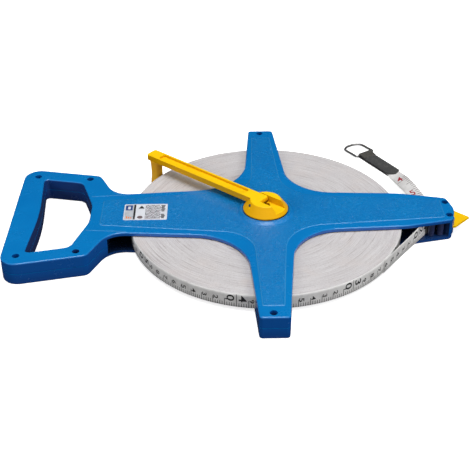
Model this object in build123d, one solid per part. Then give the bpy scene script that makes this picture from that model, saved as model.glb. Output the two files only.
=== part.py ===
from build123d import *
import math
import os

# An open-frame surveyor's tape reel, lying flat: a two-part moulded frame with a D handle, four arms
# and a nose that guides the tape out; a spool with 100 m of fibreglass tape; a hub with a crank that
# folds over it; and the tape's free end with its webbing tab and D-ring.
# Frame: origin on the reel's axis, in the plane the reel lies on. +X to the nose, +Z up the axis. mm.

# --- Tape and spool ---
TAPE_WIDTH = 13.0
TAPE_THICKNESS = 0.4
PACK_RADIUS = 120.6
CORE_RADIUS = 42.5
SPOOL_BOSS = 16.0
SPOOL_WEB = 2.0
WINDOWS = 6
WINDOW_CIRCLE = 28.0
WINDOW_RADIUS = 8.0
ANCHOR_RADIUS = 0.9

# --- Frame ---
THICKNESS = 21.0
SEAM = THICKNESS / 2
PLATE = 3.4
PANEL_RISE = 0.4
PANEL_SLOPE = 0.8  # width of the sloped edge round the panel
WALL = 3.0
EDGE_ROUND = 1.3
SEAM_GROOVE = (0.6, 0.6)
PACK_BOTTOM = SEAM - TAPE_WIDTH / 2
PACK_TOP = SEAM + TAPE_WIDTH / 2
TOP = THICKNESS + PANEL_RISE
HANDLE_END = -138.0
ARM_BLOCK_START = 124.0
NOSE_WALL_START = 161.5
NECK_RIB = [(-157.6, 27.9), (-122.0, 30.9)]
NECK_RIB_WIDTH = 1.0
NECK_RIB_HEIGHT = 0.3
BORE_RADIUS = 11.78
BEARING_FLOOR = 1.0

# Corners of the half outline above the X axis, as (x, y, rounding radius), from the handle to the nose.
FRAME_HALF = [
    (-224.5, 81.0, 14), (-152.7, 66.2, 8), (-136.9, 31.7, 22), (-19.0, 40.3, 50),
    (-11.2, 153.5, 3), (13.0, 153.5, 3), (24.4, 32.7, 44), (122.0, 27.8, 60),
    (164.5, 18.4, 5), (168.8, 0.0, 25),
]
OPENING_HALF = [(-200.6, 0.0, 300), (-205.2, 60.8, 3.5), (-168.3, 53.0, 9), (-155.8, 14.0, 30)]
PANEL_HALF = [
    (-146.0, 20.5, 2.5), (-12.2, 36.3, 30), (-8.4, 139.0, 1.5), (9.4, 139.0, 1.5),
    (17.5, 27.0, 38), (158.0, 15.0, 3),
]

# --- Screws: (x, y) of each group, all with the same 3 mm shank and pan head ---
HANDLE_SCREWS = [(-211.4, 65.6), (-211.4, -65.6), (-162.0, 60.1), (-162.0, -60.1)]
ARM_SCREWS = [(0.0, 147.5), (0.0, -147.5)]
NOSE_SCREWS = [(162.3, 10.7), (162.3, -10.7)]
SCREW_RADIUS = 1.5
SCREW_BOTTOM = 3.0
SCREW_SEAT = 12.5
HEAD_RADIUS = 2.8
HEAD_HEIGHT = 2.2
CROSS_WIDTH = 3.2
COUNTERBORE_RADIUS = 3.1
CLEARANCE = 0.2
BOSS_RADIUS = 4.8

# --- Guide rollers in the nose: (x, y) ---
ROLLERS = {"guide_roller_outer": (154.5, -15.0), "guide_roller_inner": (146.2, -16.2),
           "guide_roller_rear": (134.5, 13.0)}
ROLLER_RADIUS = 3.0
ROLLER_BORE = 1.56
ROLLER_GAP = 0.3
GUIDE_PIN_BOTTOM = 1.4

# --- Ground spike: a flat plate held between the frame halves in the nose ---
SPIKE_TIP = 183.2
SPIKE_BASE = 168.0
SPIKE_HALF_WIDTH = 14.5
SPIKE_THICKNESS = 2.0
SPIKE_EAR = 3.9
SPIKE_BOTTOM = SEAM - SPIKE_THICKNESS / 2
SPIKE_TOP = SEAM + SPIKE_THICKNESS / 2

# --- Hub and crank; the crank is drawn along +X and then turned to its stored direction ---
CRANK_ANGLE = 139.5
HUB_RADIUS = 19.9
HUB_TOP_RADIUS = 13.4
HUB_SKIRT_BOTTOM = 23.6
HUB_CONE_BOTTOM = 24.4
HUB_TOP = 33.0
NECK_RADIUS = 11.7
TENON = 15.0
TENON_BOTTOM = 6.0
SLOT_WIDTH = 13.0
SLOT_FLOOR = 26.8
SCREW_POCKET_RADIUS = 4.2
SCREW_POCKET_FLOOR = 21.4
HUB_SCREW_RADIUS = 2.0
HUB_SCREW_BOTTOM = 2.2
HUB_SCREW_HEAD = (3.7, 2.6)
HUB_SCREW_CROSS = 4.4
WASHER_RADIUS = 18.5
COLLAR_INNER = 20.8
COLLAR_LIP = 22.6
COLLAR_OUTER = 25.2
COLLAR_TOP = 23.3
ARM_WIDTH = 12.4
ARM_BOTTOM = 27.1
ARM_TOP = 32.4
ARM_LENGTH = 139.8
CHANNEL = (22.0, 126.0)
CHANNEL_WIDTH = 8.4
CHANNEL_DEPTH = 2.2
PIVOT_X = 7.0
PIVOT_Z = (ARM_BOTTOM + ARM_TOP) / 2
PIVOT_RADIUS = 1.5
PIVOT_HALF_LENGTH = 13.6
ROOT_START = 2.2
ROOT_POCKET = 5.9
GRIP_X = 133.0
GRIP_BOTTOM = 1.2
GRIP_TOP = 26.8
GRIP_RADIUS = 6.2
GRIP_WAIST = 5.3
GRIP_BORE = 2.56
GRIP_COUNTERBORE = (4.3, 3.0)
POST_RADIUS = 2.5
POST_HEAD = (4.0, 2.2)
POST_TOP = ARM_TOP - 1.4

# --- Tab and D-ring on the tape's end ---
TAB_ORIGIN = (107.9, 134.6)
TAB_HEADING = 121.9
TAB_WIDTH = 15.4
TAB_BOTTOM = 0.15
TAB_TOP = 2.75
TAB_SHOULDER = -42.5
TAB_TIP = -49.0
RIVET_PLACES = [(-36.0, 4.0), (-36.0, -4.0)]
RIVET_RADIUS = 0.9
RING_BAR = (1.5, 2.5)
RING_WIRE = 1.1
RING_BORE = 1.18
RING_HALF_WIDTH = 10.7
RING_DEPTH = 23.8
RING_BOW = 4.0
RING_SHOULDER = 3.4
RING_DROOP = 3.0

# --- Label: x from, x to, y from, y to ---
LABEL = (-126.0, -87.5, -13.2, 13.0)
LABEL_THICKNESS = 0.25

# Route of the tape from the pack, through the nose and round to the tab: x, y, z and the bank, the
# angle by which the scale's edge is raised above the level, -90 where the tape stands on edge.
LEAD_ROUTE = [
    (96.1, -73.7, 10.5, -90), (119.2, -43.6, 10.5, -90), (140.0, -16.5, 10.5, -82),
    (147.2, -3.0, 10.6, -58), (148.8, 9.0, 10.7, -24), (146.8, 21.5, 10.9, 0),
    (143.4, 34.0, 10.9, 7), (140.6, 47.0, 9.9, 16), (138.2, 62.0, 7.9, 27),
    (134.9, 76.5, 5.6, 30), (132.4, 89.5, 2.9, 14), (129.0, 100.6, 1.45, 0),
    (123.9, 109.0, 1.45, 0),
]


def rounded_face(corners):
    """A flat face through corners (x, y, radius), each corner rounded by a tangent arc."""
    starts, middles, ends = [], [], []
    for i, (x, y, radius) in enumerate(corners):
        here = Vector(x, y)
        before = (Vector(*corners[i - 1][:2]) - here).normalized()
        after = (Vector(*corners[(i + 1) % len(corners)][:2]) - here).normalized()
        half = math.radians(before.get_angle(after)) / 2
        tangent = radius / math.tan(half)
        starts.append(here + before * tangent)
        ends.append(here + after * tangent)
        middles.append(here + (before + after).normalized() * (radius / math.sin(half) - radius))
    edges = []
    for i in range(len(corners)):
        edges.append(ThreePointArc(starts[i], middles[i], ends[i]))
        edges.append(Line(ends[i], starts[(i + 1) % len(corners)]))
    return make_face(edges)


def mirrored(half):
    """The whole outline of a half outline given from left to right above the X axis."""
    return half + [(x, -y, radius) for x, y, radius in reversed(half) if y > 0]


def block(x0, x1, y0, y1, z0, z1):
    return Pos((x0 + x1) / 2, (y0 + y1) / 2, (z0 + z1) / 2) * Box(x1 - x0, y1 - y0, z1 - z0)


def rod(x, y, z0, z1, radius):
    return Pos(x, y, (z0 + z1) / 2) * Cylinder(radius, z1 - z0)


def slab(face, z0, z1):
    return extrude(Pos(0, 0, z0) * face, z1 - z0)


def cross_recess(x, y, z, width, depth):
    """Two crossed grooves, to cut out of a screw's head whose face is at height z."""
    groove = width / 5
    return Pos(x, y, z) * (Box(width, groove, 2 * depth) + Box(groove, width, 2 * depth))


def in_crank_place(shape):
    return Rot(0, 0, CRANK_ANGLE) * shape


def in_tab_place(shape):
    return Pos(*TAB_ORIGIN, 0) * Rot(0, 0, TAB_HEADING) * shape


# --- Frame halves ---


def half_shell(outline, opening):
    """The lower half of the frame: a thin plate with full-height walls outside the tape's pack.

    A shallow groove runs round the outside and the hand opening where the halves meet.
    """
    body = slab(outline, 0, SEAM)
    body = fillet(body.edges().group_by(Axis.Z)[0], EDGE_ROUND)
    body -= block(HANDLE_END, NOSE_WALL_START, -ARM_BLOCK_START, ARM_BLOCK_START, PLATE, SEAM + 1)
    handle_side = Pos(2 * HANDLE_END, 0) * Rectangle(-2 * HANDLE_END, -2 * HANDLE_END)
    handle_outline = outline & handle_side
    cavity = offset(handle_outline, amount=-WALL) - offset(opening, amount=WALL)
    cavity -= [Pos(x, y) * Circle(BOSS_RADIUS) for x, y in HANDLE_SCREWS]
    body -= slab(cavity, WALL, SEAM + 1)
    body += [rod(x, y, PLATE, SEAM, BOSS_RADIUS) for x, y in NOSE_SCREWS]
    hole = slab(opening, -1, SEAM + 1)
    body -= hole
    height, depth = SEAM_GROOVE
    rebate = outline - offset(outline, amount=-depth) + (offset(opening, amount=depth) - opening)
    body -= slab(rebate, SEAM - height / 2, SEAM + 1)
    reach_of_hole = hole.bounding_box()
    rim = [edge for edge in body.edges().group_by(Axis.Z)[0] if inside(edge.center(), reach_of_hole)]
    return fillet(rim, EDGE_ROUND)


def inside(point, box):
    return box.min.X - 1 < point.X < box.max.X + 1 and box.min.Y - 1 < point.Y < box.max.Y + 1


def neck_ribs():
    """Two fine ribs that carry the neck's sides on to the hand opening."""
    (x0, y0), (x1, y1) = NECK_RIB
    angle = math.degrees(math.atan2(y1 - y0, x1 - x0))
    plan = Rectangle(math.hypot(x1 - x0, y1 - y0), NECK_RIB_WIDTH)
    plan = Pos((x0 + x1) / 2, (y0 + y1) / 2) * Rot(0, 0, angle) * plan
    rib = slab(plan, THICKNESS - CLEARANCE, THICKNESS + NECK_RIB_HEIGHT)
    rib = chamfer(rib.edges().group_by(Axis.Z)[-1], NECK_RIB_HEIGHT * 0.8)
    return rib + mirror(rib, Plane.XZ)


def spike_root(z0, z1, end):
    """The spike's hidden part up to x = end: a tongue as wide as its base, with an ear at each screw."""
    ears = Sketch() + [Pos(x, y) * Circle(SPIKE_EAR) for x, y in NOSE_SCREWS]
    root = slab(ears, z0, z1) & block(0, end, -SPIKE_HALF_WIDTH, SPIKE_HALF_WIDTH, z0, z1)
    return root + block(NOSE_WALL_START + 1, end, -SPIKE_HALF_WIDTH, SPIKE_HALF_WIDTH, z0, z1)


def lower_frame(outline, opening):
    body = half_shell(outline, opening)
    body -= rod(0, 0, BEARING_FLOOR, PLATE + 1, BORE_RADIUS)
    for x, y in HANDLE_SCREWS + ARM_SCREWS + NOSE_SCREWS:
        body -= rod(x, y, SCREW_BOTTOM, SEAM + 1, SCREW_RADIUS)
    for x, y in ROLLERS.values():
        body -= rod(x, y, GUIDE_PIN_BOTTOM, PLATE + 1, SCREW_RADIUS)
    return body - spike_root(SPIKE_BOTTOM, SEAM + 1, SPIKE_TIP)


def upper_frame(outline, opening, panel):
    body = mirror(half_shell(outline, opening), Plane.XY.offset(SEAM))
    raised = slab(panel, THICKNESS, TOP)
    face = raised.faces().sort_by(Axis.Z)[-1]
    body += chamfer(face.edges(), PANEL_SLOPE, PANEL_RISE * 0.7, reference=face)
    body += neck_ribs()
    collar_profile = Polyline(
        (COLLAR_INNER, THICKNESS), (COLLAR_INNER, COLLAR_TOP), (COLLAR_LIP, COLLAR_TOP),
        (COLLAR_OUTER, TOP - 0.1), (COLLAR_OUTER, THICKNESS), close=True,
    )
    body += revolve(Plane.XZ * make_face(collar_profile), Axis.Z)
    body -= rod(0, 0, SEAM, TOP + 1, BORE_RADIUS)
    for x, y in HANDLE_SCREWS + ARM_SCREWS + NOSE_SCREWS:
        body -= rod(x, y, SEAM - 1, SCREW_SEAT, SCREW_RADIUS + CLEARANCE)
        body -= rod(x, y, SCREW_SEAT, TOP + 1, COUNTERBORE_RADIUS)
    for x, y in ROLLERS.values():
        body -= rod(x, y, THICKNESS - PLATE - 1, THICKNESS - GUIDE_PIN_BOTTOM, SCREW_RADIUS)
    return body - spike_root(SEAM - 1, SPIKE_TOP, SPIKE_TIP)


def frame_screw(x, y):
    """A pan-head screw with a cross recess, dropped into a counterbore from above."""
    head = rod(x, y, SCREW_SEAT, SCREW_SEAT + HEAD_HEIGHT, HEAD_RADIUS)
    head = fillet(head.edges().group_by(Axis.Z)[-1], 0.7)
    head -= cross_recess(x, y, SCREW_SEAT + HEAD_HEIGHT, CROSS_WIDTH, 1.0)
    return head + rod(x, y, SCREW_BOTTOM, SCREW_SEAT, SCREW_RADIUS)


def ground_spike():
    corners = [(SPIKE_BASE, -SPIKE_HALF_WIDTH), (SPIKE_TIP, 0), (SPIKE_BASE, SPIKE_HALF_WIDTH)]
    tip = make_face(Polyline(*corners, close=True))
    body = spike_root(SPIKE_BOTTOM, SPIKE_TOP, SPIKE_BASE) + slab(tip, SPIKE_BOTTOM, SPIKE_TOP)
    for x, y in NOSE_SCREWS:
        body -= rod(x, y, SPIKE_BOTTOM - 1, SPIKE_TOP + 1, SCREW_RADIUS + CLEARANCE)
    return body


def guide_roller(x, y):
    z0, z1 = PLATE + ROLLER_GAP, THICKNESS - PLATE - ROLLER_GAP
    sleeve = rod(x, y, z0, z1, ROLLER_RADIUS)
    sleeve = fillet(sleeve.edges(), 0.5)
    return sleeve - rod(x, y, z0 - 1, z1 + 1, ROLLER_BORE)


# --- Spool, tape and hub ---


def square_bar(z0, z1):
    return Pos(0, 0, (z0 + z1) / 2) * Rot(0, 0, CRANK_ANGLE) * Box(TENON, TENON, z1 - z0)


def core_half(z0, z1, web_z0):
    """Half of the spool: a rim, a web with round windows and a boss on the hub's square tenon."""
    body = rod(0, 0, z0, z1, CORE_RADIUS) - rod(0, 0, z0 - 1, z1 + 1, CORE_RADIUS - WALL)
    body += rod(0, 0, web_z0, web_z0 + SPOOL_WEB, CORE_RADIUS - WALL / 2)
    body += rod(0, 0, z0, z1, SPOOL_BOSS)
    window = rod(0, 0, z0 - 1, z1 + 1, WINDOW_RADIUS)
    body -= [place * window for place in PolarLocations(WINDOW_CIRCLE, WINDOWS, start_angle=30)]
    return body - square_bar(z0 - 1, z1 + 1)


def tape_pack():
    return rod(0, 0, PACK_BOTTOM, PACK_TOP, PACK_RADIUS) - rod(0, 0, 0, THICKNESS, CORE_RADIUS)


def anchor_place():
    angle = math.radians(CRANK_ANGLE + 90)
    radius = CORE_RADIUS - WALL / 2
    return radius * math.cos(angle), radius * math.sin(angle)


def tape_anchor():
    """The pin in the spool's rim that holds the tape's inner end."""
    return rod(*anchor_place(), PACK_BOTTOM + 0.5, PACK_TOP - 0.5, ANCHOR_RADIUS)


def crank_hub():
    """The round hub, slotted for the crank, on a turned neck and a square tenon."""
    body = rod(0, 0, HUB_SKIRT_BOTTOM, HUB_CONE_BOTTOM, HUB_RADIUS)
    cone_height = HUB_TOP - HUB_CONE_BOTTOM
    body += Pos(0, 0, HUB_CONE_BOTTOM + cone_height / 2) * Cone(HUB_RADIUS, HUB_TOP_RADIUS, cone_height)
    body = fillet(body.edges().group_by(Axis.Z)[-1], 1.6)
    body -= block(-30, 30, -SLOT_WIDTH / 2, SLOT_WIDTH / 2, SLOT_FLOOR, HUB_TOP + 1)
    body -= Pos(PIVOT_X, 0, PIVOT_Z) * Rot(90, 0, 0) * Cylinder(ROOT_POCKET, SLOT_WIDTH)
    body += rod(0, 0, PACK_TOP, HUB_SKIRT_BOTTOM, NECK_RADIUS)
    body += Pos(0, 0, (TENON_BOTTOM + PACK_TOP) / 2) * Box(TENON, TENON, PACK_TOP - TENON_BOTTOM)
    body -= rod(0, 0, SCREW_POCKET_FLOOR, HUB_TOP + 1, SCREW_POCKET_RADIUS)
    body -= rod(0, 0, TENON_BOTTOM - 1, HUB_TOP, HUB_SCREW_RADIUS)
    body -= Pos(PIVOT_X, 0, PIVOT_Z) * Rot(90, 0, 0) * Cylinder(PIVOT_RADIUS, 4 * HUB_RADIUS)
    return in_crank_place(body)


def crank_pin():
    pin = Pos(PIVOT_X, 0, PIVOT_Z) * Rot(90, 0, 0) * Cylinder(PIVOT_RADIUS, 2 * PIVOT_HALF_LENGTH)
    return in_crank_place(pin)


def hub_screw():
    """The screw down the hub's centre that pulls the hub, the spool and the lower bearing together."""
    radius, height = HUB_SCREW_HEAD
    head = rod(0, 0, SCREW_POCKET_FLOOR, SCREW_POCKET_FLOOR + height, radius)
    head = fillet(head.edges().group_by(Axis.Z)[-1], 0.8)
    head -= cross_recess(0, 0, SCREW_POCKET_FLOOR + height, HUB_SCREW_CROSS, 1.2)
    return head + rod(0, 0, HUB_SCREW_BOTTOM, SCREW_POCKET_FLOOR, HUB_SCREW_RADIUS)


def lower_bearing():
    """The disc that turns in the lower plate's blind bore, keyed into the spool."""
    body = rod(0, 0, BEARING_FLOOR + CLEARANCE, PACK_BOTTOM, NECK_RADIUS)
    body += square_bar(PACK_BOTTOM, TENON_BOTTOM)
    return body - rod(0, 0, HUB_SCREW_BOTTOM, TENON_BOTTOM + 1, HUB_SCREW_RADIUS)


def drag_washer():
    z0 = TOP + CLEARANCE
    disc = rod(0, 0, z0, HUB_SKIRT_BOTTOM, WASHER_RADIUS)
    return disc - rod(0, 0, z0 - 1, HUB_SKIRT_BOTTOM + 1, NECK_RADIUS)


# --- Crank ---


def crank_arm():
    """The flat arm, channelled on top, with a rounded root on the pivot and a blind hole for the post."""
    height = ARM_TOP - ARM_BOTTOM
    body = block(ROOT_START, ARM_LENGTH, -ARM_WIDTH / 2, ARM_WIDTH / 2, ARM_BOTTOM, ARM_TOP)
    root_edges = body.edges().filter_by(Axis.Y).group_by(Axis.X)[0]
    body = fillet(root_edges, height * 0.42)
    body = fillet(body.edges().filter_by(Axis.Z).group_by(Axis.X)[-1], 2.2)
    half = CHANNEL_WIDTH / 2
    channel = block(*CHANNEL, -half, half, ARM_TOP - CHANNEL_DEPTH, ARM_TOP + 1)
    body -= fillet(channel.edges().filter_by(Axis.Z), 2.0)
    body -= Pos(PIVOT_X, 0, PIVOT_Z) * Rot(90, 0, 0) * Cylinder(PIVOT_RADIUS + 0.06, 4 * ARM_WIDTH)
    body -= rod(GRIP_X, 0, ARM_BOTTOM - 1, POST_TOP, POST_RADIUS)
    return in_crank_place(body)


def crank_grip():
    """The waisted sleeve that turns on the post."""
    middle = (GRIP_BOTTOM + GRIP_TOP) / 2
    side = ThreePointArc((GRIP_RADIUS, GRIP_BOTTOM), (GRIP_WAIST, middle), (GRIP_RADIUS, GRIP_TOP))
    corners = [(GRIP_RADIUS, GRIP_TOP), (0, GRIP_TOP), (0, GRIP_BOTTOM), (GRIP_RADIUS, GRIP_BOTTOM)]
    body = revolve(Plane.XZ * make_face([side, Polyline(*corners)]), Axis.Z)
    body = fillet(body.edges().filter_by(GeomType.CIRCLE), 0.8)
    body = Pos(GRIP_X, 0, 0) * body - rod(GRIP_X, 0, 0, GRIP_TOP + 1, GRIP_BORE)
    radius, depth = GRIP_COUNTERBORE
    body -= rod(GRIP_X, 0, 0, GRIP_BOTTOM + depth, radius)
    return in_crank_place(body)


def grip_post():
    """The shoulder screw that carries the grip, its head inside the grip's lower end."""
    radius, height = POST_HEAD
    z0 = GRIP_BOTTOM + GRIP_COUNTERBORE[1] - height - CLEARANCE
    head = rod(GRIP_X, 0, z0, z0 + height, radius)
    head = fillet(head.edges().group_by(Axis.Z)[0], 0.6)
    head -= cross_recess(GRIP_X, 0, z0, HUB_SCREW_CROSS, 1.0)
    return in_crank_place(head + rod(GRIP_X, 0, z0 + height, POST_TOP, POST_RADIUS))


# --- The tape's free end ---


def lead_sections():
    """Cross-sections of the tape at the two ends of its route and at the middle of each run."""
    places = [LEAD_ROUTE[0]]
    for a, b in zip(LEAD_ROUTE, LEAD_ROUTE[1:]):
        places.append(tuple((p + q) / 2 for p, q in zip(a, b)))
    places.append(LEAD_ROUTE[-1])
    runs = [Vector(*b[:3]) - Vector(*a[:3]) for a, b in zip(LEAD_ROUTE, LEAD_ROUTE[1:])]
    headings = [runs[0]] + runs + [runs[-1]]
    for (x, y, z, bank), heading in zip(places, headings):
        forward = heading.normalized()
        side = forward.cross(Vector(0, 0, 1)).normalized()
        level = Plane(origin=(x, y, z), x_dir=side, z_dir=forward)
        yield level * Rot(0, 0, -bank) * Rectangle(TAPE_WIDTH, TAPE_THICKNESS)


def tape_lead():
    sections = [section.face() for section in lead_sections()]
    return loft(sections, ruled=True)


def end_tab():
    """Folded webbing: two layers with a trimmed point over the tape's end and a loop round the ring."""
    half = TAB_WIDTH / 2
    bar_u, bar_z = RING_BAR
    plan = make_face(Polyline(
        (TAB_TIP, 0), (TAB_SHOULDER, half), (bar_u, half),
        (bar_u, -half), (TAB_SHOULDER, -half), close=True,
    ))
    body = slab(plan, TAB_BOTTOM, TAB_TOP)
    body += Pos(bar_u, 0, bar_z) * Rot(90, 0, 0) * Cylinder(bar_z - TAB_BOTTOM, TAB_WIDTH)
    body -= Pos(bar_u, 0, bar_z) * Rot(90, 0, 0) * Cylinder(RING_BORE, 2 * TAB_WIDTH)
    return in_tab_place(body)


def tab_rivets():
    """Two rivets through the webbing and the tape, flush with the webbing."""
    for u, v in RIVET_PLACES:
        yield in_tab_place(rod(u, v, TAB_BOTTOM, TAB_TOP, RIVET_RADIUS))


def d_ring():
    """The wire ring: a straight bar in the webbing's loop, two legs and a bow resting on the ground."""
    shoulder = RING_DEPTH - RING_SHOULDER
    corners = [
        (0, -RING_HALF_WIDTH), (shoulder, -RING_HALF_WIDTH), (RING_DEPTH, -RING_BOW),
        (RING_DEPTH, RING_BOW), (shoulder, RING_HALF_WIDTH), (0, RING_HALF_WIDTH),
    ]
    radii = [2.2, 6.0, 9.0, 9.0, 6.0, 2.2]
    path = FilletPolyline(*corners, radius=radii, close=True)
    start = Plane(origin=path @ 0, z_dir=path % 0)
    wire = sweep(start * Circle(RING_WIRE), path=path)
    bar_u, bar_z = RING_BAR
    return in_tab_place(Pos(bar_u, 0, bar_z) * Rot(0, RING_DROOP, 0) * wire)


def label():
    """The sticker on the neck's raised panel."""
    return block(*LABEL, TOP, TOP + LABEL_THICKNESS)


def pieces():
    """Every node with its solid, or its group of solids."""
    outline = rounded_face(mirrored(FRAME_HALF))
    opening = rounded_face(mirrored(OPENING_HALF))
    panel = rounded_face(mirrored(PANEL_HALF))
    lead = tape_lead()
    rivets = list(tab_rivets())
    parts = {
        "lower_frame": lower_frame(outline, opening),
        "upper_frame": upper_frame(outline, opening, panel),
        "handle_screws": Compound([frame_screw(x, y) for x, y in HANDLE_SCREWS]),
        "arm_screws": Compound([frame_screw(x, y) for x, y in ARM_SCREWS]),
        "nose_screws": Compound([frame_screw(x, y) for x, y in NOSE_SCREWS]),
        "ground_spike": ground_spike(),
        "label": label(),
        "guide_pins": Compound([
            rod(x, y, GUIDE_PIN_BOTTOM, THICKNESS - GUIDE_PIN_BOTTOM, SCREW_RADIUS)
            for x, y in ROLLERS.values()
        ]),
        "spool_lower": core_half(PACK_BOTTOM, SEAM, PACK_BOTTOM),
        "spool_upper": core_half(SEAM, PACK_TOP, PACK_TOP - SPOOL_WEB),
        "tape_pack": tape_pack(),
        "tape_anchor": tape_anchor(),
        "crank_hub": crank_hub(),
        "crank_pin": crank_pin(),
        "hub_screw": hub_screw(),
        "lower_bearing": lower_bearing(),
        "drag_washer": drag_washer(),
        "crank_arm": crank_arm(),
        "crank_grip": crank_grip(),
        "grip_post": grip_post(),
        "tape_lead": lead - Compound(rivets),
        "end_tab": end_tab() - lead - Compound(rivets),
        "tab_rivets": Compound(rivets),
        "d_ring": d_ring(),
    }
    for name in ("spool_lower", "spool_upper"):
        parts[name] -= parts["tape_anchor"]
    for name, place in ROLLERS.items():
        parts[name] = guide_roller(*place)
    return parts


os.makedirs("parts", exist_ok=True)
for node, shape in pieces().items():
    export_step(shape, f"parts/{node}.step")
    print(node, round(shape.volume), [round(v, 1) for v in shape.bounding_box().size])
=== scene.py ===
import bmesh
import bpy
import math
import random
from mathutils import Matrix, Vector, noise


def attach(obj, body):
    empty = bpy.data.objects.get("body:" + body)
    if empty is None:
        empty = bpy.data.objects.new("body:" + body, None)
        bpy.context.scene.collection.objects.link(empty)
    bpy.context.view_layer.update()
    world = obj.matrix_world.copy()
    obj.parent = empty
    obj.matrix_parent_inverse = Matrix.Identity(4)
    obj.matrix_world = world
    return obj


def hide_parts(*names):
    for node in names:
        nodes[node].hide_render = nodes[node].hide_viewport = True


# A surveyor's tape reel lying flat: materials for the CAD frame, the wound tape with its printed scale,
# the tape's free end, the webbing tab and the label. Everything is in metres; mm() turns sizes given in
# millimetres into metres.

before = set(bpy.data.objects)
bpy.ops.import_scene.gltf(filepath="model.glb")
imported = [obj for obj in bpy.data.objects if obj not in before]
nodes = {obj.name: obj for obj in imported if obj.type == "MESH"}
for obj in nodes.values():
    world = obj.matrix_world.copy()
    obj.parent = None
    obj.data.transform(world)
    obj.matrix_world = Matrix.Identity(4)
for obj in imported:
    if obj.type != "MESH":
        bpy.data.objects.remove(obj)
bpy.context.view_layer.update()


def mm(*values):
    return values[0] / 1000 if len(values) == 1 else Vector(values) / 1000


# --- Sizes that the pieces share with the CAD, in mm ---
TAPE_WIDTH = 13.0
TAPE_THICKNESS = 0.4
PACK_RADIUS = 120.6
CORE_RADIUS = 42.5
PACK_BOTTOM = 4.0
PACK_TOP = 17.0
THICKNESS = 21.0
PLATE = 3.4
BAY = (-138.0, 161.5)
BAY_HALF_WIDTH = 124.0
NOSE = (112.0, 150.0)
HAND_OPENING = (-215.0, -154.0)
HAND_OPENING_HALF_WIDTH = 62.0
LOW_WALL = 12.0  # below this height the outer walls take painted shade
PANEL_TOP = 21.4
LABEL = (-126.0, -87.5, -13.2, 13.0)
TAB_ORIGIN = (107.9, 134.6)
TAB_HEADING = 121.9
TAB_WIDTH = 15.4
TAB_SHOULDER = -42.5
TAB_TIP = -49.0
RING_BAR = (1.5, 2.5)
LEAD_ROUTE = [  # x, y, z and the bank of the scale's edge, degrees
    (96.1, -73.7, 10.5, -90), (119.2, -43.6, 10.5, -90), (140.0, -16.5, 10.5, -82),
    (147.2, -3.0, 10.6, -58), (148.8, 9.0, 10.7, -24), (146.8, 21.5, 10.9, 0),
    (143.4, 34.0, 10.9, 7), (140.6, 47.0, 9.9, 16), (138.2, 62.0, 7.9, 27),
    (134.9, 76.5, 5.6, 30), (132.4, 89.5, 2.9, 14), (129.0, 100.6, 1.45, 0),
    (123.9, 109.0, 1.45, 0),
]


# --- Camera, floor and lights ---

FLOOR_HALF_SIZE = 9.0
FLOOR_FLAT_RADIUS = 5.5


def make_camera():
    azimuth, elevation, roll = map(math.radians, (-0.79, 33.47, -0.36))
    back = Vector((
        math.sin(azimuth) * math.cos(elevation), -math.cos(azimuth) * math.cos(elevation), math.sin(elevation),
    ))
    right = (-back).cross(Vector((0, 0, 1))).normalized()
    up = right.cross(-back)
    place = back * mm(897.29) + right * mm(-27.39) + up * mm(-3.97)
    turned = math.cos(roll) * right + math.sin(roll) * up
    axes = Matrix((turned, back.cross(turned), back)).transposed()
    camera = bpy.data.objects.new("camera", bpy.data.cameras.new("camera"))
    camera.data.lens = 76.12
    camera.data.sensor_width = 36
    camera.data.clip_start = 0.01
    camera.data.clip_end = 100
    camera.matrix_world = Matrix.Translation(place) @ axes.to_4x4()
    bpy.context.scene.collection.objects.link(camera)
    bpy.context.scene.camera = camera


def area_light(name, place, size, power, mirrored=True):
    """A rectangular soft light that faces the origin."""
    light = bpy.data.lights.new(name, "AREA")
    light.shape = "RECTANGLE"
    light.size, light.size_y = size
    light.energy = power
    lamp = bpy.data.objects.new(name, light)
    lamp.location = place
    lamp.rotation_euler = (-Vector(place)).to_track_quat("-Z", "Y").to_euler()
    lamp.visible_glossy = mirrored
    bpy.context.scene.collection.objects.link(lamp)


def make_stage():
    """A dim room, a big soft light overhead, one at each side, and a white floor that curves up far away."""
    world = bpy.data.worlds.new("studio")
    bpy.context.scene.world = world
    world.use_nodes = True
    tree = world.node_tree
    facing = tree.nodes.new("ShaderNodeVectorMath")
    facing.operation = "DOT_PRODUCT"
    facing.inputs[1].default_value = (0, -0.6, 0.8)
    tree.links.new(tree.nodes.new("ShaderNodeTexCoord").outputs["Generated"], facing.inputs[0])
    level = tree.nodes.new("ShaderNodeMapRange")
    for name, value in (("From Min", 0.0), ("From Max", 0.9), ("To Min", 0.02), ("To Max", 0.40)):
        level.inputs[name].default_value = value
    tree.links.new(facing.outputs["Value"], level.inputs["Value"])
    tree.links.new(level.outputs[0], tree.nodes["Background"].inputs["Strength"])
    tree.nodes["Background"].inputs["Color"].default_value = (1, 1, 1, 1)
    bpy.context.scene.view_settings.view_transform = "Standard"
    area_light("key", (0.1, -0.35, 3.0), (1.8, 1.6), 61)
    area_light("right", (2.4, -1.3, 1.3), (1.2, 1.2), 46, mirrored=False)
    area_light("left", (-2.4, -1.0, 1.2), (1.2, 1.0), 26, mirrored=False)
    bm = bmesh.new()
    bmesh.ops.create_grid(bm, x_segments=48, y_segments=48, size=FLOOR_HALF_SIZE)
    for v in bm.verts:
        v.co.z = 0.6 * max(0.0, v.co.xy.length - FLOOR_FLAT_RADIUS) ** 2
    floor = finish_mesh(bm, "floor", [white_floor()])
    floor.location.z = mm(-0.05)
    floor.visible_diffuse = floor.visible_glossy = floor.visible_shadow = False


# --- Materials ---


def rgb(red, green, blue):
    """The linear colour of an sRGB colour whose channels run from 0 to 255."""
    channels = [c / 255 for c in (red, green, blue)]
    return tuple(((c + 0.055) / 1.055) ** 2.4 if c > 0.04045 else c / 12.92 for c in channels) + (1.0,)


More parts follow.
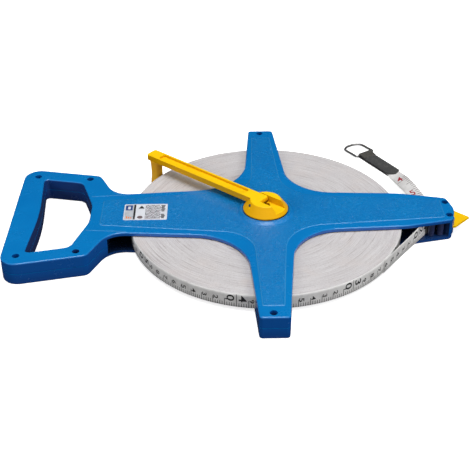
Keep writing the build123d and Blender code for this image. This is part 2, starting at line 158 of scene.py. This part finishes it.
class Paint:
    """A procedural material, built from the object's own coordinates. Its methods return sockets."""

    def __init__(self, name, **settings):
        self.material = bpy.data.materials.new(name)
        self.material.use_nodes = True
        self.tree = self.material.node_tree
        self.shader = self.tree.nodes["Principled BSDF"]
        coordinates = self.add("ShaderNodeTexCoord").outputs
        self.place, self.facing = coordinates["Object"], coordinates["Normal"]
        for key, value in settings.items():
            self.put(self.shader.inputs[key.replace("_", " ")], value)

    def add(self, kind, **properties):
        node = self.tree.nodes.new(kind)
        for key, value in properties.items():
            setattr(node, key, value)
        return node

    def put(self, socket, value):
        if isinstance(value, bpy.types.NodeSocket):
            self.tree.links.new(value, socket)
        else:
            socket.default_value = value

    def calc(self, operation, a, b=0.0, c=0.0):
        node = self.add("ShaderNodeMath", operation=operation)
        for socket, value in zip(node.inputs, (a, b, c)):
            self.put(socket, value)
        return node.outputs[0]

    def axes(self, vector=None):
        node = self.add("ShaderNodeSeparateXYZ")
        self.put(node.inputs[0], vector or self.place)
        return node.outputs

    def combine(self, x, y, z):
        node = self.add("ShaderNodeCombineXYZ")
        for socket, value in zip(node.inputs, (x, y, z)):
            self.put(socket, value)
        return node.outputs[0]

    def scaled(self, x, y, z):
        """The object's coordinates, each multiplied, for grain that runs along an axis."""
        node = self.add("ShaderNodeVectorMath", operation="MULTIPLY")
        self.put(node.inputs[0], self.place)
        node.inputs[1].default_value = (x, y, z)
        return node.outputs[0]

    def noise(self, size, detail=2.0, roughness=0.5, vector=None):
        """Noise whose features are about that many mm across."""
        node = self.add("ShaderNodeTexNoise")
        self.put(node.inputs["Vector"], vector or self.place)
        node.inputs["Scale"].default_value = 1000 / size
        node.inputs["Detail"].default_value = detail
        node.inputs["Roughness"].default_value = roughness
        return node.outputs["Fac"]

    def span(self, value, low, high, to_low=0.0, to_high=1.0):
        node = self.add("ShaderNodeMapRange", interpolation_type="SMOOTHSTEP")
        for socket, number in zip(node.inputs, (value, low, high, to_low, to_high)):
            self.put(socket, number)
        return node.outputs[0]

    def within(self, value, low, high, edge):
        """1 where value lies between low and high in mm, fading to 0 over edge mm outside them."""
        rising = self.span(value, mm(low - edge), mm(low))
        return self.calc("MULTIPLY", rising, self.span(value, mm(high + edge), mm(high)))

    def inside(self, x, y, z):
        """1 in the space between the frame's two plates."""
        along = self.within(x, *BAY, 0.1)
        across = self.within(y, -BAY_HALF_WIDTH, BAY_HALF_WIDTH, 0.1)
        between = self.within(z, PLATE - 0.1, THICKNESS - PLATE + 0.1, 0.3)
        return self.calc("MULTIPLY", self.calc("MULTIPLY", along, across), between)

    def mix(self, share, a, b):
        node = self.add("ShaderNodeMix", data_type="RGBA")
        self.put(node.inputs["Factor"], share)
        self.put(node.inputs[6], a)
        self.put(node.inputs[7], b)
        return node.outputs[2]

    def bump(self, height, depth, below=None):
        """A relief of depth mm where height runs from 0 to 1."""
        node = self.add("ShaderNodeBump")
        node.inputs["Distance"].default_value = mm(depth)
        node.inputs["Strength"].default_value = 1.0
        self.put(node.inputs["Height"], height)
        if below is not None:
            self.put(node.inputs["Normal"], below)
        return node.outputs[0]

    def surface(self, colour=None, roughness=None, normal=None, metallic=None):
        for key, value in (
            ("Base Color", colour), ("Roughness", roughness), ("Normal", normal), ("Metallic", metallic),
        ):
            if value is not None:
                self.put(self.shader.inputs[key], value)
        return self.material


def white_floor():
    paint = Paint("floor", Roughness=0.9, Emission_Color=(1, 1, 1, 1))
    x, y, _ = paint.axes()
    reach = paint.calc("SQRT", paint.calc("ADD", paint.calc("MULTIPLY", x, x), paint.calc("MULTIPLY", y, y)))
    paint.put(paint.shader.inputs["Emission Strength"], paint.span(reach, 1.0, 4.0, 0.65, 0.95))
    tone = paint.noise(400)
    return paint.surface(paint.mix(tone, rgb(250, 250, 250), rgb(246, 246, 247)))


def moulded(
    name, colour, shade, side=None, steep=(0.8, 0.2), gloss=0.22, coat=0.5, shine=0.5, grain=0.45, depth=0.008,
    frame_shell=False,
):
    """Moulded plastic: faint flow marks in the colour, a fine spark-eroded grain and rubbed patches.

    Steep faces take the side colour, a darker tone painted as shade. A frame shell has a mottled raised panel
    with a painted highlight line along the panel's edge, and its base colour is darkened by place, as painted
    shade where it lies in shade: in the bay, in the hand opening and low on its walls.
    """
    paint = Paint(name, Coat_Weight=coat, Coat_Roughness=0.12, Specular_IOR_Level=shine)
    flow = paint.noise(38, 3, 0.6)
    speckle = paint.noise(grain * 2.2, 2, 0.7)
    tone = paint.calc("ADD", paint.calc("MULTIPLY", flow, 0.7), paint.calc("MULTIPLY", speckle, 0.3))
    base = paint.mix(paint.span(tone, 0.3, 0.7), shade, colour)
    upright = paint.span(paint.calc("ABSOLUTE", paint.axes(paint.facing)[2]), *steep)
    # steep faces take the side colour: painted shade on walls and slopes
    if side:
        base = paint.mix(upright, base, side)
    fine = paint.noise(grain, 3, 0.65)
    wear = paint.span(paint.noise(16, 5, 0.7), 0.35, 0.7)
    rough = paint.calc("ADD", paint.calc("MULTIPLY", wear, 0.08), gloss)
    relief = paint.bump(fine, depth)
    if frame_shell:
        x, y, z = paint.axes()
        panel = paint.span(z, mm(THICKNESS + 0.1), mm(THICKNESS + 0.3))
        pits = paint.span(paint.noise(1.6, 3, 0.75), 0.35, 0.65)
        relief = paint.bump(paint.calc("MULTIPLY", panel, pits), 0.16, below=relief)
        sparkle = paint.calc("MULTIPLY", panel, paint.span(paint.noise(2.4, 4, 0.8), 0.45, 0.75))
        base = paint.mix(paint.calc("MULTIPLY", sparkle, 0.4), base, rgb(62, 160, 212))
        # a paler line along the raised panel's edge: painted highlight
        rim_highlight = paint.within(z, THICKNESS + 0.1, PANEL_TOP - 0.06, 0.04)
        base = paint.mix(paint.calc("MULTIPLY", rim_highlight, 0.25), base, rgb(96, 176, 218))
        # painted shade low on the outer walls
        low = paint.calc("MULTIPLY", upright, paint.span(z, mm(LOW_WALL), 0.0, 0.0, 0.45))
        base = paint.mix(low, base, rgb(26, 44, 104))
        # painted shade on the hand opening's walls
        reach = paint.within(y, -HAND_OPENING_HALF_WIDTH, HAND_OPENING_HALF_WIDTH, 0.5)
        opening = paint.calc("MULTIPLY", paint.within(x, *HAND_OPENING, 0.5), reach)
        shaded = paint.calc("MULTIPLY", paint.calc("MULTIPLY", upright, opening), 0.7)
        base = paint.mix(shaded, base, rgb(30, 46, 98))
        # painted shade in the bay between the plates, lighter towards the nose
        dark = paint.mix(paint.span(x, mm(NOSE[0]), mm(NOSE[1])), rgb(10, 28, 56), rgb(24, 54, 104))
        base = paint.mix(paint.inside(x, y, z), base, dark)
    return paint.surface(base, rough, relief)


def brushed(name, colour, shade, gloss, size=0.25, stretch=(1, 1, 0.08)):
    """Drawn or turned metal with fine streaks."""
    paint = Paint(name, Metallic=1.0)
    streaks = paint.noise(size, 4, 0.7, vector=paint.scaled(*stretch))
    stain = paint.noise(3, 3, 0.6)
    base = paint.mix(paint.span(stain, 0.3, 0.75), shade, colour)
    rough = paint.span(streaks, 0.2, 0.8, gloss, gloss + 0.22)
    return paint.surface(base, rough, paint.bump(streaks, 0.01))


def tape_side():
    """The coil's flat side: the edges of the tape's turns, each its own tone, with painted shade in the gap
    between one turn and the next.
    """
    paint = Paint("tape_edges", Specular_IOR_Level=0.25)
    x, y, z = paint.axes()
    radius = paint.calc("SQRT", paint.calc("ADD", paint.calc("MULTIPLY", x, x), paint.calc("MULTIPLY", y, y)))
    angle = paint.calc("ARCTAN2", y, x)

    def along_turns(size, stretch, offset, detail=2.0, roughness=0.6):
        spot = paint.combine(radius, paint.calc("MULTIPLY", angle, stretch), offset)
        return paint.noise(size, detail, roughness, vector=spot)

    turns = along_turns(0.6, 0.0015, 0.0)
    bands = along_turns(6.5, 0.006, 0.03, 3, 0.7)
    gap_shade = along_turns(0.8, 0.002, 0.07, 2, 0.6)
    specks = along_turns(0.8, 0.09, 0.11, 2, 0.7)
    cloud = paint.noise(24, 3, 0.6)
    base = paint.mix(paint.span(turns, 0.3, 0.7), rgb(185, 181, 182), rgb(205, 203, 204))
    base = paint.mix(paint.calc("MULTIPLY", paint.span(bands, 0.45, 0.75), 0.3), base, rgb(172, 167, 170))
    # darker lines between the turns: painted shade
    base = paint.mix(paint.calc("MULTIPLY", paint.span(gap_shade, 0.6, 0.68), 0.6), base, rgb(134, 124, 124))
    base = paint.mix(paint.calc("MULTIPLY", paint.span(specks, 0.5, 0.7), 0.4), base, rgb(150, 138, 138))
    base = paint.mix(paint.calc("MULTIPLY", paint.span(cloud, 0.45, 0.8), 0.3), base, rgb(208, 195, 188))
    relief = paint.bump(turns, 0.06)
    return paint.surface(base, paint.span(turns, 0.2, 0.8, 0.55, 0.7), relief)


def tape_face():
    """The tape's smooth printed face: white vinyl over a fibreglass scrim that shows faintly through."""
    paint = Paint("tape_face", Specular_IOR_Level=0.25)
    weave = paint.noise(0.5, 2, 0.6)
    soil = paint.noise(9, 4, 0.65)
    base = paint.mix(paint.span(soil, 0.35, 0.8), rgb(226, 225, 224), rgb(206, 204, 203))
    return paint.surface(base, paint.span(soil, 0.3, 0.7, 0.42, 0.56), paint.bump(weave, 0.015))


def ink(name, colour, faded):
    """Printing ink, unevenly dense."""
    paint = Paint(name)
    density = paint.noise(0.7, 3, 0.7)
    return paint.surface(paint.mix(paint.span(density, 0.35, 0.75), colour, faded), 0.6)


def webbing(name, colour, shade, fuzz):
    """Woven nylon: broken twill in relief, with paler worn threads and a soft sheen."""
    paint = Paint(name, Roughness=0.85, Specular_IOR_Level=0.25, Sheen_Weight=0.35, Sheen_Roughness=0.4)
    threads = paint.noise(0.55, 3, 0.7)
    patches = paint.noise(5, 4, 0.7)
    base = paint.mix(paint.span(threads, 0.4, 0.75), shade, colour)
    base = paint.mix(paint.calc("MULTIPLY", paint.span(patches, 0.5, 0.75), 0.35), base, fuzz)
    return paint.surface(base, normal=paint.bump(threads, 0.06))


def coated_paper(name, colour, shade):
    """A sticker's coated paper, slightly soiled."""
    paint = Paint(name, Coat_Weight=0.3, Coat_Roughness=0.25)
    fibre = paint.noise(0.8, 4, 0.7)
    soil = paint.noise(7, 3, 0.6)
    base = paint.mix(paint.span(soil, 0.4, 0.8), colour, shade)
    return paint.surface(base, paint.span(fibre, 0.3, 0.7, 0.4, 0.55), paint.bump(fibre, 0.01))


# --- Mesh helpers ---


def finish_mesh(bm, name, materials, smooth=True):
    """Makes an object of a bmesh, with its normals outward."""
    mesh = bpy.data.meshes.new(name)
    bm.normal_update()
    bm.to_mesh(mesh)
    bm.free()
    for material in materials:
        mesh.materials.append(material)
    if smooth:
        mesh.shade_smooth()
    thing = bpy.data.objects.new(name, mesh)
    bpy.context.scene.collection.objects.link(thing)
    return thing


def loft(bm, rings, closed_ends=True):
    """Quads between closed rings of points, with the first and the last ring filled if closed_ends."""
    rows = [[bm.verts.new(point) for point in ring] for ring in rings]
    count = len(rows[0])
    for a, b in zip(rows, rows[1:]):
        for i in range(count):
            j = (i + 1) % count
            bm.faces.new((a[i], a[j], b[j], b[i]))
    if closed_ends:
        bm.faces.new(list(reversed(rows[0])))
        bm.faces.new(rows[-1])


# --- The printed scale ---

GLYPHS = {}


def glyph(character):
    """A digit as (points, triangles), one unit high, centred on the origin, finely cut so that it can bend."""
    if character not in GLYPHS:
        curve = bpy.data.curves.new("glyph", "FONT")
        curve.body = character
        curve.offset = 0.015
        thing = bpy.data.objects.new("glyph", curve)
        mesh = bpy.data.meshes.new_from_object(thing)
        bm = bmesh.new()
        bm.from_mesh(mesh)
        bmesh.ops.triangulate(bm, faces=bm.faces[:])
        long_edges = [edge for edge in bm.edges if edge.calc_length() > 0.3]
        bmesh.ops.subdivide_edges(bm, edges=long_edges, cuts=1)
        bmesh.ops.triangulate(bm, faces=bm.faces[:])
        xs, ys = [v.co.x for v in bm.verts], [v.co.y for v in bm.verts]
        height = max(ys) - min(ys)
        middle = Vector(((max(xs) + min(xs)) / 2, (max(ys) + min(ys)) / 2))
        bm.verts.index_update()
        points = [(v.co.xy - middle) / height for v in bm.verts]
        faces = [[v.index for v in face.verts] for face in bm.faces]
        GLYPHS[character] = points, faces
        bm.free()
        bpy.data.objects.remove(thing)
        bpy.data.meshes.remove(mesh)
        bpy.data.curves.remove(curve)
    return GLYPHS[character]


class Print:
    """Ink on a face. place(s, w) gives the point s mm along the tape and w mm in from the scale's edge."""

    def __init__(self, place):
        self.place = place
        self.bm = bmesh.new()

    def bar(self, s, w0, w1, width, colour=0):
        cuts = max(1, round((w1 - w0) / 1.5))
        sides = [
            [
                self.bm.verts.new(self.place(s + end * width / 2, w0 + (w1 - w0) * i / cuts))
                for i in range(cuts + 1)
            ]
            for end in (-1, 1)
        ]
        for i in range(cuts):
            face = self.bm.faces.new((sides[0][i], sides[0][i + 1], sides[1][i + 1], sides[1][i]))
            face.material_index = colour

    def number(self, character, s, w, height, colour=0, breadth=1.5):
        """A stretched digit centred there that reads with its top towards the tape's zero."""
        points, faces = glyph(character)
        made = [self.bm.verts.new(self.place(s - p.y * height, w - p.x * breadth * height)) for p in points]
        for face in faces:
            self.bm.faces.new([made[i] for i in face]).material_index = colour


def print_centimetres(sheet, start, end):
    """A tick every 2 mm, a longer one and a digit every centimetre, and a split number every decimetre."""
    for step in range(math.ceil(start / 2), math.floor(end / 2) + 1):
        s = 2 * step
        if s % 100 == 0:
            sheet.bar(s, 0.1, 12.4, 0.45)
            sheet.number(str(s // 100 % 10), s - 5.0, 8.3, 6.4)
            sheet.number("0", s + 5.0, 8.3, 6.4)
        elif s % 10 == 0:
            sheet.bar(s, 0.1, 7.2, 0.5)
            sheet.number(str(s // 10 % 10), s - 2.5, 6.6, 4.4 if s % 50 == 0 else 3.9)
        else:
            sheet.bar(s, 0.1, 3.8, 0.45)


# --- The wound tape ---

SCALE_ANGLE = -103.5
SCALE_AT_ANGLE = 400.0


def pack_point(angle, radius, z):
    return mm(radius * math.cos(angle), radius * math.sin(angle), z)


def turn_height(radius, angle):
    """How far a turn of the coil stands below the coil's flat side, in mm, from 0 to 0.2."""
    uneven = noise.noise(Vector((radius * 0.9, math.cos(angle) * 0.8, math.sin(angle) * 0.8)))
    swell = noise.noise(Vector((radius * 0.12, math.cos(angle) * 1.3 + 7, math.sin(angle) * 1.3)))
    return min(0.2, max(0.0, 0.09 + 0.1 * uneven + 0.06 * swell))


def make_pack():
    """The coil as a closed ring, its two flat sides rippled by uneven turns."""
    bm = bmesh.new()
    steps = 130
    radii = [CORE_RADIUS + (PACK_RADIUS - 0.45 - CORE_RADIUS) * i / steps for i in range(steps + 1)]
    around = 256
    rings = []
    for k in range(around + 1):
        angle = 2 * math.pi * (k % around) / around
        upper = [pack_point(angle, r, PACK_TOP - 0.05 - turn_height(r, angle)) for r in radii]
        lower = [pack_point(angle, r, PACK_BOTTOM + 0.05 + turn_height(r + 50, angle)) for r in reversed(radii)]
        rings.append(upper + lower)
    loft(bm, rings, closed_ends=False)
    bmesh.ops.remove_doubles(bm, verts=bm.verts[:], dist=1e-7)
    pack = finish_mesh(bm, "tape_coil", [tape_side()])
    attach(pack, "reel")
    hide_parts("tape_pack")


def band(name, radius, z0, z1, thickness):
    """One turn of tape round the coil."""
    bm = bmesh.new()
    r = thickness / 2
    profile = [(radius - thickness, z0 + r), (radius - r, z0)]
    profile += [(radius, z0 + r + (z1 - z0 - thickness) * i / 6) for i in range(7)]
    profile += [(radius - r, z1), (radius - thickness, z1 - r)]
    around = 288
    rings = [
        [pack_point(2 * math.pi * (k % around) / around, rr, z) for rr, z in profile] for k in range(around + 1)
    ]
    loft(bm, rings, closed_ends=False)
    bmesh.ops.remove_doubles(bm, verts=bm.verts[:], dist=1e-7)
    turn = finish_mesh(bm, name, [PAINTS["tape_face"]])
    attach(turn, "reel")
    return turn


def make_outer_turns():
    band("tape_turn_outer", PACK_RADIUS, PACK_BOTTOM, PACK_TOP - 0.5, 0.22)
    band("tape_turn_second", PACK_RADIUS - 0.24, PACK_BOTTOM + 0.1, PACK_TOP - 0.1, 0.22)

    def place(s, w):
        angle = math.radians(SCALE_ANGLE) - (s - SCALE_AT_ANGLE) / (PACK_RADIUS + 0.15)
        return pack_point(angle, PACK_RADIUS + 0.03, PACK_BOTTOM + w)

    sheet = Print(place)
    print_centimetres(sheet, 262, 262 + 2 * math.pi * (PACK_RADIUS + 0.15) - 4)
    scale = finish_mesh(sheet.bm, "tape_turn_print", [PAINTS["black_ink"]])
    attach(scale, "reel")


# --- The tape's free end ---


def nurbs_points(name, points):
    """Points along the one open quadratic NURBS line that has these control points."""
    curve = bpy.data.curves.new(name, "CURVE")
    curve.dimensions = "3D"
    curve.resolution_u = 10
    spline = curve.splines.new("NURBS")
    spline.points.add(len(points) - 1)
    for made, point in zip(spline.points, points):
        made.co = (*point, 1.0)
    spline.order_u = 3
    spline.use_endpoint_u = True
    thing = bpy.data.objects.new(name, curve)
    mesh = bpy.data.meshes.new_from_object(thing)
    found = [v.co.copy() for v in mesh.vertices]
    bpy.data.objects.remove(thing)
    bpy.data.curves.remove(curve)
    bpy.data.meshes.remove(mesh)
    return found


class FreeTape:
    """The free tape's line, with its length along it and its banked cross-section at every point."""

    def __init__(self):
        self.line = nurbs_points("route", [mm(x, y, z) for x, y, z, _ in LEAD_ROUTE])
        banks = nurbs_points("bank", [Vector((bank, i, 0)) for i, (*_, bank) in enumerate(LEAD_ROUTE)])
        self.lengths = [0.0]
        for a, b in zip(self.line, self.line[1:]):
            self.lengths.append(self.lengths[-1] + (b - a).length * 1000)
        self.edges, self.faces = [], []
        for i, bank in enumerate(math.radians(point.x) for point in banks):
            ahead = self.line[min(i + 1, len(self.line) - 1)] - self.line[max(i - 1, 0)]
            side = ahead.cross(Vector((0, 0, 1))).normalized()
            up = side.cross(ahead).normalized()
            self.edges.append(math.cos(bank) * side + math.sin(bank) * up)
            self.faces.append(math.cos(bank) * up - math.sin(bank) * side)

    def at(self, length, w, h):
        """The point that far along in mm, w mm in from the scale's edge and h mm above the printed face."""
        length = min(max(length, 0.0), self.lengths[-1])
        i = max(k for k, passed in enumerate(self.lengths) if passed <= length)
        i = min(i, len(self.line) - 2)
        t = (length - self.lengths[i]) / (self.lengths[i + 1] - self.lengths[i])
        middle = self.line[i].lerp(self.line[i + 1], t)
        edge = self.edges[i].lerp(self.edges[i + 1], t).normalized()
        face = self.faces[i].lerp(self.faces[i + 1], t).normalized()
        return middle + edge * mm(TAPE_WIDTH / 2 - w) + face * mm(TAPE_THICKNESS / 2 + h)

    def ribbon(self):
        half = TAPE_THICKNESS / 2
        ws = [half * 0.6 + (TAPE_WIDTH - 1.2 * half) * i / 10 for i in range(11)]
        profile = [(w, 0.0) for w in ws] + [(TAPE_WIDTH, -half)]
        profile += [(w, -TAPE_THICKNESS) for w in reversed(ws)] + [(0.0, -half)]
        bm = bmesh.new()
        loft(bm, [[self.at(length, w, h) for w, h in profile] for length in self.lengths])
        bmesh.ops.recalc_face_normals(bm, faces=bm.faces[:])
        return finish_mesh(bm, "free_tape", [PAINTS["tape_face"]])


FREE_SCALE_AT_START = 261.0


def make_free_tape():
    tape = FreeTape()
    ribbon = tape.ribbon()
    sheet = Print(lambda s, w: tape.at(FREE_SCALE_AT_START - s, w, 0.05))
    print_centimetres(sheet, FREE_SCALE_AT_START - 92, FREE_SCALE_AT_START - 1)
    for k in range(24):
        s = FREE_SCALE_AT_START - 92 - 3.4 * (k + 1)
        long_tick = k % 4 == 2
        sheet.bar(s, 0.2, 6.4 if long_tick else 3.8, 0.7, 1)
    for mark, character in ((137.5, "5"), (172.0, "4")):
        sheet.number(character, FREE_SCALE_AT_START - mark, 7.4, 9.5, 2, breadth=0.8)
        sheet.bar(FREE_SCALE_AT_START - mark + 5.2, 0.2, 12.2, 0.5, 1)
    inks = [PAINTS[name] for name in ("black_ink", "grey_ink", "red_ink")]
    scale = finish_mesh(sheet.bm, "free_tape_print", inks)
    for piece in (ribbon, scale):
        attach(piece, "frame")
    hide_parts("tape_lead")
    return ribbon, scale, tape


# --- Webbing tab ---


def tab_point(u, v, z):
    heading = math.radians(TAB_HEADING)
    x = TAB_ORIGIN[0] + u * math.cos(heading) - v * math.sin(heading)
    y = TAB_ORIGIN[1] + u * math.sin(heading) + v * math.cos(heading)
    return mm(x, y, z)


def strap(name, path, half_width, thickness, materials, pitch=1.05, depth=0.07):
    """A woven strap along path, a list of (u, z, normal angle), as a closed skin with the weave in relief."""
    bm = bmesh.new()
    across = 30
    rings = []
    travelled = 0.0
    for i, (u, z, tilt) in enumerate(path):
        if i:
            travelled += math.hypot(u - path[i - 1][0], z - path[i - 1][1])
        half = half_width(u) if callable(half_width) else half_width
        ring = []
        for side in (1, -1):
            for k in range(across + 1):
                v = half * (2 * k / across - 1) * side
                edge = 1 - abs(v) / half
                ribs = math.sin(math.pi * travelled / pitch) * math.sin(math.pi * v / (pitch * 0.62))
                skin = thickness / 2 * min(1.0, 0.35 + edge * 9)
                h = side * (skin + depth * ribs * (0.3 + 0.7 * min(1, edge * 6)))
                ring.append(tab_point(u - math.sin(tilt) * h, v, z + math.cos(tilt) * h))
        rings.append(ring)
    loft(bm, rings)
    bmesh.ops.recalc_face_normals(bm, faces=bm.faces[:])
    piece = finish_mesh(bm, name, materials)
    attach(piece, "frame")
    return piece


def make_tab():
    def half_at(u):
        if u >= TAB_SHOULDER:
            return TAB_WIDTH / 2
        return max(0.8, TAB_WIDTH / 2 * (u - TAB_TIP) / (TAB_SHOULDER - TAB_TIP))

    bar_u, bar_z = RING_BAR
    steps = 190
    lower_z, upper_z, t = 0.68, 2.35, 0.95
    us = [TAB_TIP + (bar_u - TAB_TIP) * i / steps for i in range(steps + 1)]
    path = [(u, lower_z, 0.0) for u in us]
    radius = (upper_z + 1.2 - lower_z) / 2
    turn = [math.pi * i / 24 for i in range(1, 24)]
    path += [(bar_u + radius * math.sin(a), lower_z + radius * (1 - math.cos(a)), a) for a in turn]
    top = lower_z + 2 * radius
    back = [bar_u - (bar_u - TAB_TIP) * i / steps for i in range(steps + 1)]

    def upper(u):
        settle = min(1.0, max(0.0, (bar_u - u) / 9.0))
        return top + (upper_z - top) * settle * settle * (3 - 2 * settle)

    path += [(u, upper(u), math.pi) for u in back]
    body = strap("webbing_strap", path, half_at, t, [PAINTS["webbing"]])
    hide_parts("end_tab")
    lip = [(bar_u + 0.6 - 9.0 * i / 40, upper(bar_u - 9.0 * i / 40) + 0.85, math.pi) for i in range(41)]
    flap = strap("webbing_flap", lip, TAB_WIDTH / 2 - 0.3, 0.75, [PAINTS["worn_webbing"]])
    return [body, flap]


# --- Label ---


def rounded_rectangle(bm, x0, x1, y0, y1, z, radius, material=0):
    points = []
    for cx, cy, start in ((x1 - radius, y1 - radius, 0), (x0 + radius, y1 - radius, 90),
                          (x0 + radius, y0 + radius, 180), (x1 - radius, y0 + radius, 270)):
        for k in range(7):
            angle = math.radians(start + 15 * k)
            points.append(mm(cx + radius * math.cos(angle), cy + radius * math.sin(angle), z))
    face = bm.faces.new([bm.verts.new(point) for point in points])
    face.material_index = material
    return face


def make_label():
    """The sticker: rounded corners and generic printing, with no words."""
    x0, x1, y0, y1 = LABEL
    bm = bmesh.new()
    z = PANEL_TOP + 0.02
    face = rounded_rectangle(bm, x0, x1, y0, y1, z, 1.4)
    lifted = bmesh.ops.extrude_face_region(bm, geom=[face])["geom"]
    bmesh.ops.translate(bm, vec=mm(0, 0, 0.16), verts=[v for v in lifted if isinstance(v, bmesh.types.BMVert)])
    bmesh.ops.recalc_face_normals(bm, faces=bm.faces[:])
    sticker = finish_mesh(bm, "label_sticker", [PAINTS["paper"]], smooth=False)
    bm = bmesh.new()
    z += 0.19
    bar_x = x0 + 9.4
    rounded_rectangle(bm, x0 + 0.9, bar_x - 1.1, y0 + 1.0, y1 - 1.0, z - 0.01, 0.8, 3)
    rounded_rectangle(bm, bar_x - 0.9, bar_x + 0.9, y0 + 0.8, y1 - 0.8, z, 0.2, 0)
    rounded_rectangle(bm, x0 + 1.3, x0 + 7.4, y1 - 10.4, y1 - 2.0, z, 0.3, 1)
    rounded_rectangle(bm, x0 + 3.2, x0 + 5.6, y1 - 8.6, y1 - 4.0, z + 0.01, 0.8, 4)
    for k in range(3):
        rounded_rectangle(bm, x0 + 2.2 + 1.9 * k, x0 + 3.4 + 1.9 * k, y0 + 2.4, y0 + 6.0 - 0.8 * k, z, 0.4, 2)
    pictogram = [mm(bar_x + dx, y1 - dy, z) for dx, dy in ((3.2, 7.6), (8.6, 7.6), (5.9, 2.6))]
    bm.faces.new([bm.verts.new(point) for point in pictogram])
    rounded_rectangle(bm, bar_x + 2.8, bar_x + 7.6, y0 + 1.8, y0 + 6.6, z, 2.2, 5)
    for row in (0, 1, 2, 3, 4, 5, 8, 9, 10, 11):
        y = y1 - 2.8 - 1.85 * row
        left, right = x1 - 5.8 + 0.5 * (row % 2), x1 - 1.9 - 0.4 * (row % 3)
        rounded_rectangle(bm, left, right, y - 0.7, y + 0.7, z, 0.3, 0)
    rng = random.Random(4)
    for column in range(13):
        x = bar_x + 9.6 + 1.05 * column
        y = y0 + 1.8
        while y < y1 - 3.2:
            length = rng.uniform(1.4, 5.0)
            shade = 5 if rng.random() < 0.7 else 0
            rounded_rectangle(bm, x, x + 0.6, y, min(y + length, y1 - 1.6), z, 0.2, shade)
            y += length + rng.uniform(0.6, 1.2)
    inks = [PAINTS[name] for name in ("black_ink", "blue_ink", "orange_ink", "grey_paper", "paper", "grey_ink")]
    printing = finish_mesh(bm, "label_print", inks, smooth=False)
    for piece in (sticker, printing):
        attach(piece, "frame")
    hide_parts("label")


# --- Putting it together ---

PAINTS = {
    # the third colour given to moulded is painted shade for steep faces
    "blue": moulded("blue_shell", rgb(2, 119, 188), rgb(0, 111, 181), rgb(8, 80, 158),
                     coat=0.4, frame_shell=True),
    "yellow": moulded("yellow_crank", rgb(248, 204, 16), rgb(240, 192, 8), rgb(222, 162, 2),
                       steep=(0.93, 0.55), gloss=0.42, coat=0.0, shine=0.2, grain=0.6),
    "grip": moulded("yellow_grip", rgb(255, 194, 56), rgb(255, 182, 44), gloss=0.4, coat=0.0, shine=0.25,
                     grain=0.6),
    "spike": moulded("yellow_spike", rgb(250, 202, 8), rgb(242, 190, 4), gloss=0.45, coat=0.0, shine=0.25,
                     grain=0.3),
    "spool": moulded("spool", rgb(210, 210, 208), rgb(196, 196, 196), gloss=0.5),
    "roller": moulded("roller", rgb(52, 62, 100), rgb(38, 46, 80), gloss=0.25, grain=0.3),
    "washer": moulded("washer", rgb(34, 34, 36), rgb(24, 24, 26), gloss=0.5, grain=0.3),
    "steel": brushed("steel", rgb(150, 150, 152), rgb(110, 108, 106), 0.3),
    "black_steel": brushed("black_steel", rgb(52, 52, 54), rgb(34, 34, 36), 0.42),
    "wire": brushed("ring_wire", rgb(222, 222, 222), rgb(176, 174, 172), 0.3, 0.4, (1, 1, 1)),
    "tape_face": tape_face(),
    "black_ink": ink("black_ink", rgb(22, 22, 24), rgb(58, 58, 60)),
    "grey_ink": ink("grey_ink", rgb(92, 76, 80), rgb(126, 112, 114)),
    "red_ink": ink("red_ink", rgb(150, 16, 38), rgb(180, 50, 68)),
    "blue_ink": ink("blue_ink", rgb(20, 50, 110), rgb(50, 80, 140)),
    "orange_ink": ink("orange_ink", rgb(214, 110, 50), rgb(226, 150, 100)),
    "webbing": webbing("webbing", rgb(78, 78, 78), rgb(38, 38, 39), rgb(104, 102, 96)),
    "worn_webbing": webbing("webbing_worn", rgb(88, 86, 81), rgb(52, 51, 48), rgb(110, 106, 99)),
    "paper": coated_paper("label_paper", rgb(214, 217, 224), rgb(196, 199, 207)),
    "grey_paper": coated_paper("label_grey", rgb(186, 190, 196), rgb(164, 168, 176)),
}
NODE_PAINTS = {
    "blue": ["upper_frame", "lower_frame"],
    "yellow": ["crank_hub", "crank_arm"],
    "grip": ["crank_grip"],
    "spike": ["ground_spike"],
    "spool": ["spool_lower", "spool_upper", "lower_bearing"],
    "roller": ["guide_roller_outer", "guide_roller_inner", "guide_roller_rear"],
    "washer": ["drag_washer"],
    "steel": ["handle_screws", "arm_screws", "nose_screws", "guide_pins", "tape_anchor", "crank_pin",
              "hub_screw", "grip_post"],
    "black_steel": ["tab_rivets"],
    "wire": ["d_ring"],
    "paper": ["label"],
    "webbing": ["end_tab"],
    "tape_face": ["tape_pack", "tape_lead"],
}
for paint_name, node_names in NODE_PAINTS.items():
    for node_name in node_names:
        nodes[node_name].data.materials.clear()
        nodes[node_name].data.materials.append(PAINTS[paint_name])

make_camera()
make_stage()
make_pack()
make_outer_turns()
free_tape, free_print, tape_line = make_free_tape()
tab_pieces = make_tab()
make_label()
